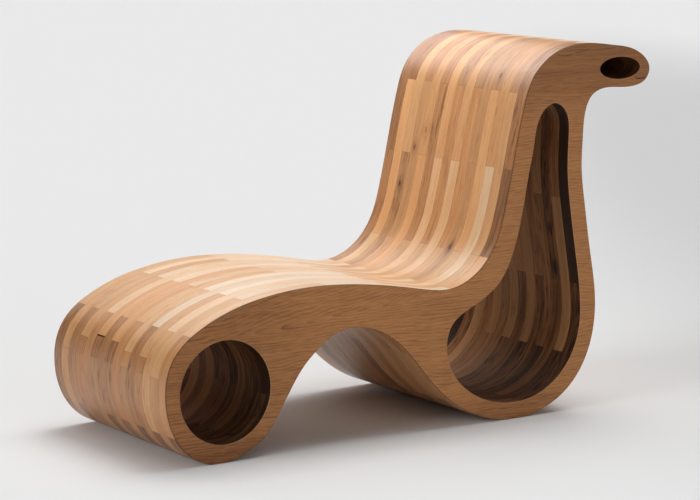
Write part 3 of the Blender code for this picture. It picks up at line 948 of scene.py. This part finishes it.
def facing_oak(finish):
    """Oiled oak sawn in one wide face, with long level grain and arched growth rings."""
    material, nodes, surface = new_material("Oak facing")
    nodes.feed(surface["Specular IOR Level"], finish.side_gloss)
    x, y, z = nodes.split(nodes.out("ShaderNodeTexCoord", output="Object"))
    side = nodes.math("SIGN", y)

    def drawn(layer):
        run, rise, shift = FACE_NOISES[layer]
        return nodes.noise(nodes.join(x / run, z / rise, side + shift))

    level = z + drawn("bow") * BOW_HEIGHT + drawn("ripple") * RIPPLE_HEIGHT
    lean = nodes.math("MINIMUM", nodes.math("MAXIMUM", x, AXIS_START), AXIS_END)
    off = level - (lean * AXIS_SLOPE + AXIS_HEIGHT)
    reach = nodes.math("SQRT", off * off + ARCH_BLUNTNESS) + (ARCH_TIP - lean) * ARCH_TAPER
    seed = side * FACE_SEED_STEP + FACE_SEED
    ring_place = reach / FACE_RING_WIDTH
    streak, ring, fibre, pore, patch = oak_figure(nodes, nodes.join(x, z), seed, ring_place)
    ring = nodes.math("POWER", ring, FACE_RING_POWER) * nodes.fit(drawn("shown"), *RINGS_SHOWN)
    fleck = nodes.fit(drawn("fleck"), *FLECK_RANGE) - 0.5
    # painted light and shade: the facing darker at the head, the foot end and near the floor, lighter
    # between
    painted_light_and_shade = nodes.fit(z, *HEAD_PAINTED_SHADE) + nodes.fit(x, *FOOT_END_PAINTED_SHADE) + nodes.fit(z, *FEET_PAINTED_SHADE_AND_GRAIN)
    lines = fleck * FACE_SHOWS["fleck"] - ring * FACE_SHOWS["ring"]
    shade = painted_light_and_shade + FACE_SHADE + (streak - 0.5) * FACE_SHOWS["streak"]
    shade = shade + lines * nodes.fit(z, *CALM_HEAD) - patch * FACE_SHOWS["patch"]
    shade = shade + (fibre - 0.5) * FACE_SHOWS["fibre"] - pore * FACE_SHOWS["pore"]
    body = nodes.ramp(shade * FACE_CONTRAST, [(0.0, finish.facing_dark), (1.0, finish.facing_light)])
    wavy = z + (drawn("waver") - 0.5) * WAVER_HEIGHT
    crack = 0.0
    for line in FACE_LINES:
        crack = nodes.math("MAXIMUM", crack, face_line(nodes, x, wavy, line))
    marked = nodes.mix(crack * nodes.math("LESS_THAN", side, 0.0), body, (*finish.glue, 1))
    # the rims: a painted shadow line, partly dark end grain, on the outer arrises, and a painted highlight
    # round the openings
    arris, inside = attributes(nodes, "arris", "inside")
    rim = nodes.mix(inside, (*finish.edge, 1), (*finish.worn, 1))
    rimmed = nodes.mix(arris * nodes.fit(inside, 0, 1, *RIM_SHOWS), marked, rim)
    oak_surface(nodes, surface, finish, rimmed, finish.roughness, streak, fibre, pore)
    return material


def beech():
    """Turned beech for the dowels, with fine flecks along them."""
    material, nodes, surface = new_material("Beech")
    here = nodes.out("ShaderNodeTexCoord", output="Object")
    fleck = nodes.noise(nodes.vector("MULTIPLY", here, BEECH_FLECKS))
    body = nodes.mix(nodes.fit(fleck, *BEECH_RANGE), PALE_BEECH, FLECKED_BEECH)
    wood_surface(nodes, surface, body, nodes.fit(fleck, 0, 1, *BEECH_ROUGHNESS), fleck, BEECH_DEPTH)
    return material


def stave_tones(loop_name, number, staves):
    """The tones of a rib's staves round one loop: those listed, and seeded draws for the rest."""
    draw = random.Random(f"{SEED} {loop_name} {number}")
    drawn = [draw.choice(DRAWN_TONES) for _ in range(staves)]
    for stave, words in STAVE_TONES[loop_name].items():
        drawn[stave] = words.split()[(number - 1) % len(words.split())]
    return [TONES[word] + draw.uniform(-TONE_DRIFT, TONE_DRIFT) for word in drawn]


def wood_side(loop, loop_name):
    """At each point of a loop, the step that moves it into the wood by one."""
    return right_of(loop) * (1 if loop_name == "outline" else -1)


def rib_loops(profile, number, finish):
    """The loops of one rib, each cut into staves with their own tones."""
    row = "odd" if number % 2 else "even"
    scale = np.array([profile.sizes.length, profile.sizes.height])
    slack = finish.joint_line / 4
    loops = []
    for loop_name, loop in profile.loops.items():
        joints = [scale * pair for pair in JOINT_SHARES[loop_name][row]]
        short = SHORT_STAVES.get((loop_name, number), [])
        ends = [scale * end for end, _ in short]
        points, along, joint, place_along = butted(loop, joints + ends, finish.joint_line)
        starts = np.sort([place_along(place) for place in joints]) - slack
        stave = np.searchsorted(starts, along) - 1
        tone = np.array(stave_tones(loop_name, number, len(joints)))[stave]
        seeds = [random.Random(f"{SEED} {loop_name} {number} {i}").random() for i in range(len(joints))]
        seed = np.array(seeds)[stave]
        for place, (_, word) in zip(ends, short):
            end = place_along(place)
            within = (stave == np.searchsorted(starts, end) - 1) & (along < end - slack)
            tone[within] = TONES[word]
            seed[within] = (seed[within] + SHORT_SEED_STEP) % 1
        knot_share = KNOT_SHARES.get((loop_name, number))
        knot = FAR_OFF if knot_share is None else place_along(scale * knot_share)
        loops.append({
            "points": points - (profile.middle, 0), "inward": wood_side(points, loop_name),
            "along": along, "tone": tone, "seed": seed, "joint": joint, "knot": knot,
            "inside": loop_name != "outline",
        })
    return loops


def facing_loops(profile):
    """The loops of a side facing, set back from the ribs' edges."""
    loops = []
    for loop_name, loop in profile.loops.items():
        inward = wood_side(loop, loop_name)
        points = loop + inward * profile.sizes.facing_setback - (profile.middle, 0)
        loops.append({"points": points, "inward": inward, "inside": loop_name != "outline"})
    return loops


class LOUNGE_OT_ribs(bpy.types.Operator):
    """Saws the fifteen oak ribs and cuts each round into butted staves"""

    bl_idname = "lounge_chair.ribs"
    bl_label = "Add ribs"

    def execute(self, context):
        sizes = context.scene.chair_sizes
        finish = context.scene.oak_finish
        profile = Profile(sizes)
        outside = stave_oak("Oak staves", finish, finish.gloss, finish.roughness)
        inside = stave_oak("Oak staves inside", finish, finish.inside_gloss, finish.inside_roughness)
        pitch = sizes.rib_thickness + sizes.glue_gap
        for number in range(1, sizes.ribs + 1):
            y = ((sizes.ribs + 1) / 2 - number) * pitch
            loops = rib_loops(profile, number, finish)
            rib = sawn_board(f"rib_{number:02d}", loops, sizes.rib_thickness, sizes.rib_ease, y, outside,
                             inside)
            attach(rib, "root")
            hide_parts(*[f"lamination_{number:02d}_{board}" for board in ("foot", "seat", "back")])
        return {"FINISHED"}


class LOUNGE_OT_facings(bpy.types.Operator):
    """Saws the thin oak facing of each side"""

    bl_idname = "lounge_chair.facings"
    bl_label = "Add facings"

    def execute(self, context):
        sizes = context.scene.chair_sizes
        loops = facing_loops(Profile(sizes))
        material = facing_oak(context.scene.oak_finish)
        stack = sizes.ribs * sizes.rib_thickness + (sizes.ribs - 1) * sizes.glue_gap
        y = stack / 2 + sizes.glue_gap + sizes.facing_thickness / 2
        for name, side in (("left", -1), ("right", 1)):
            facing = sawn_board(f"side_face_{name}", loops, sizes.facing_thickness, sizes.facing_ease,
                                side * y, material, material)
            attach(facing, "root")
            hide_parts(f"facing_{name}")
        return {"FINISHED"}


class LOUNGE_OT_dowels(bpy.types.Operator):
    """Gives the dowels inside the stack their beech"""

    bl_idname = "lounge_chair.dowels"
    bl_label = "Finish dowels"

    def execute(self, context):
        material = beech()
        for name in frame["nodes"]:
            if name.startswith("dowel_"):
                for slot in bpy.data.objects[name].material_slots:
                    slot.material = material
        return {"FINISHED"}


class LOUNGE_OT_studio(bpy.types.Operator):
    """Adds the pale floor, the soft lights and the camera"""

    bl_idname = "lounge_chair.studio"
    bl_label = "Add studio"

    def execute(self, context):
        studio = context.scene.studio
        self.add_floor(studio)
        for name, (strength, tilt, direction, spread) in FAR_LIGHTS.items():
            lamp = self.add_light(name, "SUN", studio.light * strength, SUN_PLACE, tilt, direction)
            lamp.angle = math.radians(spread)
        for name, (strength, place, tilt, direction) in SOFT_BOXES.items():
            lamp = self.add_light(name, "AREA", studio.light * strength, place, tilt, direction)
            lamp.shape = "DISK"
            lamp.size = studio.box_size
        self.add_glow(context, studio)
        context.scene.view_settings.view_transform = "Standard"
        self.add_camera(context, studio)
        return {"FINISHED"}

    def add_floor(self, studio):
        """A wide pale floor that runs out of the picture, with a soft shade to the right and behind."""
        reach = studio.floor_reach
        mesh = bpy.data.meshes.new("floor")
        corners = [(-reach, -reach, 0), (reach, -reach, 0), (reach, reach, 0), (-reach, reach, 0)]
        mesh.from_pydata(corners, [], [(0, 1, 2, 3)])
        material, nodes, surface = new_material("Studio floor")
        x, y, _ = nodes.split(nodes.out("ShaderNodeTexCoord", output="Object"))
        sine, cosine = math.sin(studio.azimuth), math.cos(studio.azimuth)
        wide, deep = SHADE_SIZE
        right = x * (cosine / wide) + y * (sine / wide)
        behind = y * (cosine / deep) - x * (sine / deep)
        gap = nodes.vector("SUBTRACT", nodes.join(right, behind), SHADE_PLACE)
        gap = nodes.vector("LENGTH", gap, output="Value")
        tone = nodes.fit(gap, *SHADE_FADE, 1, 1 - studio.shaded)
        tint = nodes.mix(1.0, nodes.join(tone, tone, tone), (*studio.floor, 1), "MULTIPLY")
        nodes.feed_all(surface, {"Base Color": tint, "Roughness": FLOOR_ROUGHNESS,
                                 "Specular IOR Level": 0.0})
        mesh.materials.append(material)
        floor = bpy.data.objects.new("floor", mesh)
        bpy.context.scene.collection.objects.link(floor)

    def add_light(self, name, kind, strength, place, tilt, direction):
        """A light at a place, turned from straight down by a tilt and then round, in degrees."""
        lamp = bpy.data.lights.new(name, kind)
        lamp.energy = strength
        light = bpy.data.objects.new(name, lamp)
        light.location = place
        light.rotation_euler = (0, math.radians(tilt), math.radians(direction))
        bpy.context.scene.collection.objects.link(light)
        if kind == "AREA":
            collections = bpy.data.collections
            lit = collections.get("Lit by the boxes") or collections.new("Lit by the boxes")
            light.light_linking.receiver_collection = lit
            for piece in bpy.data.objects:
                if piece.name.startswith(("rib_", "side_face_")) and piece.name not in lit.objects:
                    lit.objects.link(piece)
        return lamp

    def add_glow(self, context, studio):
        """The glow of the backdrop low behind the chair, as light from all round."""
        world = bpy.data.worlds.new("Studio")
        world.use_nodes = True
        nodes = Nodes(world.node_tree)
        x, y, z = nodes.split(nodes.out("ShaderNodeTexCoord", output="Generated"))
        total = 0.0
        for strength, direction, top in GLOWS.values():
            turn = math.radians(direction)
            toward = x * math.cos(turn) + y * math.sin(turn)
            glow = nodes.fit(z, top, GLOW_FULL) * nodes.fit(toward, *GLOW_FADE)
            total = total + glow * (strength * studio.glow)
        background = world.node_tree.nodes["Background"]
        nodes.feed(background.inputs["Color"], nodes.join(total, total, total))
        context.scene.world = world

    def add_camera(self, context, studio):
        """The camera at the photograph's angle."""
        lens = bpy.data.cameras.new("Camera")
        lens.lens = studio.lens
        lens.sensor_width = SENSOR_WIDTH
        lens.clip_end = CLIP_END
        camera = bpy.data.objects.new("Camera", lens)
        turned = Matrix.Rotation(studio.azimuth, 4, "Z")
        turned = turned @ Matrix.Rotation(math.pi / 2 - studio.elevation, 4, "X")
        turned = turned @ Matrix.Rotation(studio.roll, 4, "Z")
        back = Matrix.Translation((0, 0, studio.distance))
        camera.matrix_world = Matrix.Translation(studio.aim) @ turned @ back
        context.scene.collection.objects.link(camera)
        context.scene.camera = camera


class LOUNGE_PT_panel(bpy.types.Panel):
    """Sizes, finish and studio of the lounge chair"""

    bl_idname = "LOUNGE_PT_panel"
    bl_label = "Lounge chair"
    bl_space_type = "VIEW_3D"
    bl_region_type = "UI"
    bl_category = "Lounge chair"

    def draw(self, context):
        for operator in OPERATORS:
            self.layout.operator(operator.bl_idname)
        for group in (context.scene.chair_sizes, context.scene.oak_finish, context.scene.studio):
            box = self.layout.box()
            for name in group.__annotations__:
                box.prop(group, name)


OPERATORS = (LOUNGE_OT_ribs, LOUNGE_OT_facings, LOUNGE_OT_dowels, LOUNGE_OT_studio)
GROUPS = {"chair_sizes": ChairSizes, "oak_finish": OakFinish, "studio": Studio}


def register():
    """Registers the classes and gives the scene its settings."""
    for item in (*GROUPS.values(), *OPERATORS, LOUNGE_PT_panel):
        bpy.utils.register_class(item)
    for name, group in GROUPS.items():
        setattr(bpy.types.Scene, name, PointerProperty(type=group))


def unregister():
    """Takes the settings and the classes away."""
    for name in GROUPS:
        delattr(bpy.types.Scene, name)
    for item in (LOUNGE_PT_panel, *OPERATORS, *reversed(GROUPS.values())):
        bpy.utils.unregister_class(item)


def main():
    """Registers the add-on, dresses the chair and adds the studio."""
    register()
    bpy.ops.lounge_chair.ribs()
    bpy.ops.lounge_chair.facings()
    bpy.ops.lounge_chair.dowels()
    bpy.ops.lounge_chair.studio()


if __name__ == "__main__":
    main()
